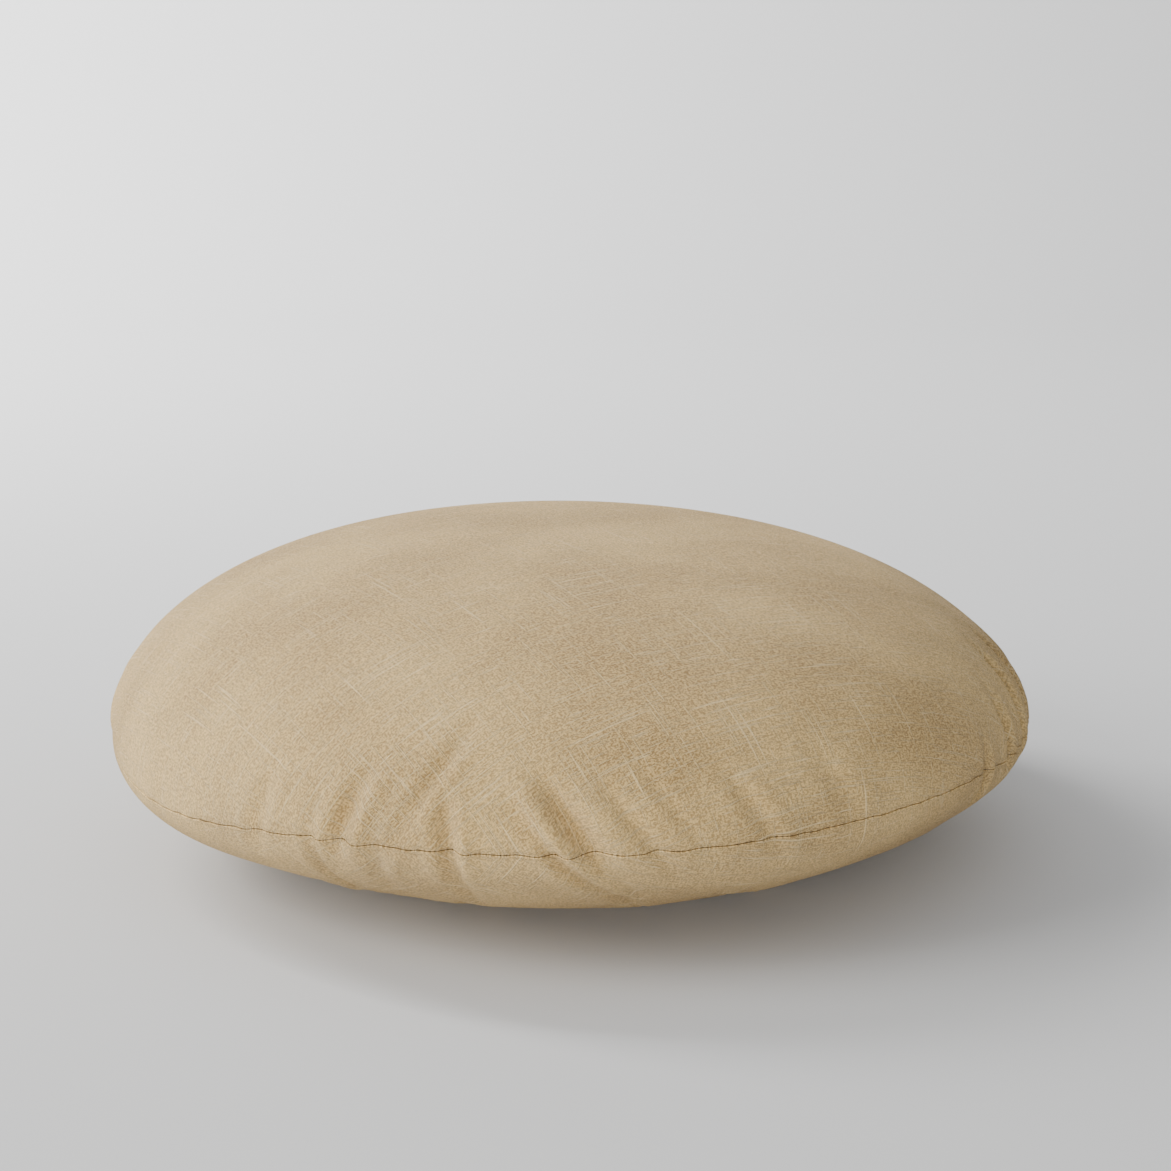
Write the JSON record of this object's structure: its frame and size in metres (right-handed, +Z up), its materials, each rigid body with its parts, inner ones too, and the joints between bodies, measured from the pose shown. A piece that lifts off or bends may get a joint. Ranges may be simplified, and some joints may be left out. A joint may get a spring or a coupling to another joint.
{
  "type": "floor cushion",
  "caption": "Low round floor cushion: domed linen cover seamed at the rim, concealed zip at the back, loose cotton pad inside.",
  "frame": {"origin": "centre of the flat patch that the cushion rests on, at floor level", "axes": "+Z up through the crown; the zip is centred on +Y at the back; +X to the right seen from the front (-Y)"},
  "size_m": [0.63, 0.6299, 0.214],
  "materials": {
    "linen": "natural beige slubby linen, matt",
    "thread": "spun polyester thread, matt",
    "zip_tape": "woven tape, matt",
    "nylon": "beige nylon coil, satin",
    "brass": "antique brass, brushed and tumbled",
    "cotton": "unbleached cotton, matt",
    "fibre": "hollow fibre filling, matt",
    "label": "blank satin tape"
  },
  "bodies": {
    "cushion": {"cover_top": "linen", "cover_bottom": "linen", "seam_thread": "thread", "zip_tape_upper": "zip_tape", "zip_tape_lower": "zip_tape", "zip_stitch_upper": "thread", "zip_stitch_lower": "thread", "zip_coil_upper": "nylon", "zip_coil_lower": "nylon", "zip_top_stop_upper": "brass", "zip_top_stop_lower": "brass", "zip_bottom_stop": "brass", "casing_top": "cotton", "casing_bottom": "cotton", "casing_thread": "thread", "filling": "fibre", "care_label": "label"},
    "zip_slider": {"zip_slider": "brass"},
    "zip_pull": {"zip_pull": "brass"}
  },
  "joints": [
    {"name": "zip_travel", "type": "hinge", "parent": "cushion", "child": "zip_slider", "pos_m": [0, 0, 0.086], "axis": [0, 0, 1], "range_deg": [0, 64.3]},
    {"name": "pull_swing", "type": "hinge", "parent": "zip_slider", "child": "zip_pull", "pos_m": [0.16922, 0.26877, 0.086], "axis": [0, 0, 1], "range_deg": [0, 175]}
  ]
}
